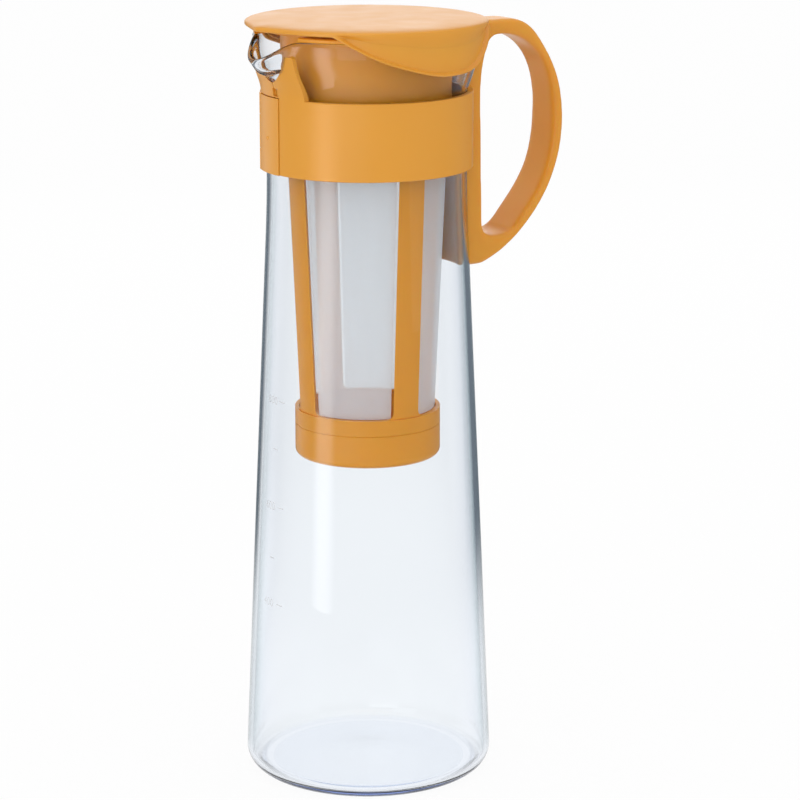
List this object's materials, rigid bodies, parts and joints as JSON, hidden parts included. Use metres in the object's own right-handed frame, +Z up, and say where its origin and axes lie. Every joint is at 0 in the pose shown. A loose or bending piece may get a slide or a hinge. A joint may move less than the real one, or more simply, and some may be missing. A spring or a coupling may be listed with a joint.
{
  "type": "cold brew coffee maker",
  "caption": "Tall tapered glass jug with a pulled spout, plastic neck band and loop handle, lid with a pouring tip, and a hanging mesh strainer with a removable bottom cap.",
  "frame": {"origin": "centre of the jug's foot, on the surface it stands on", "axes": "+Z up along the jug's axis, +X towards the handle, -X towards the spout"},
  "size_m": [0.1375, 0.097, 0.2982],
  "materials": {
    "clear_glass": "fire-polished clear glass with a faint grey-green edge",
    "orange_plastic": "smooth semi-gloss moulded polypropylene, amber orange",
    "mesh_cloth": "fine white woven filter mesh",
    "pin_steel": "plain drawn wire"
  },
  "bodies": {
    "jug": {"glass_carafe": "clear_glass", "neck_band": "orange_plastic", "handle": "orange_plastic", "latch_pin": "pin_steel"},
    "flap": {"band_latch": "orange_plastic"},
    "strainer": {"strainer_flange": "orange_plastic", "strainer_collar": "orange_plastic", "strainer_rib_1": "orange_plastic", "strainer_rib_2": "orange_plastic", "strainer_rib_3": "orange_plastic", "strainer_rib_4": "orange_plastic", "strainer_ring": "orange_plastic", "mesh_panel_1": "mesh_cloth", "mesh_panel_2": "mesh_cloth", "mesh_panel_3": "mesh_cloth", "mesh_panel_4": "mesh_cloth"},
    "cap": {"strainer_cap": "orange_plastic"},
    "lid": {"lid": "orange_plastic", "lid_skirt_1": "orange_plastic", "lid_skirt_2": "orange_plastic", "lid_rest_ring": "orange_plastic", "lid_plug_ring": "orange_plastic"}
  },
  "joints": [
    {"name": "flap_hinge", "type": "hinge", "parent": "jug", "child": "flap", "pos_m": [-0.03718, 0.01502, 0.25585], "axis": [0, 0, -1], "range_deg": [0, 100]},
    {"name": "strainer_lift", "type": "slide", "parent": "jug", "child": "strainer", "axis": [0, 0, 1], "range_m": [0, 0.18]},
    {"name": "cap_pull", "type": "slide", "parent": "strainer", "child": "cap", "axis": [0, 0, -1], "range_m": [0, 0.03]},
    {"name": "lid_lift", "type": "slide", "parent": "strainer", "child": "lid", "axis": [0, 0, 1], "range_m": [0, 0.06]}
  ]
}
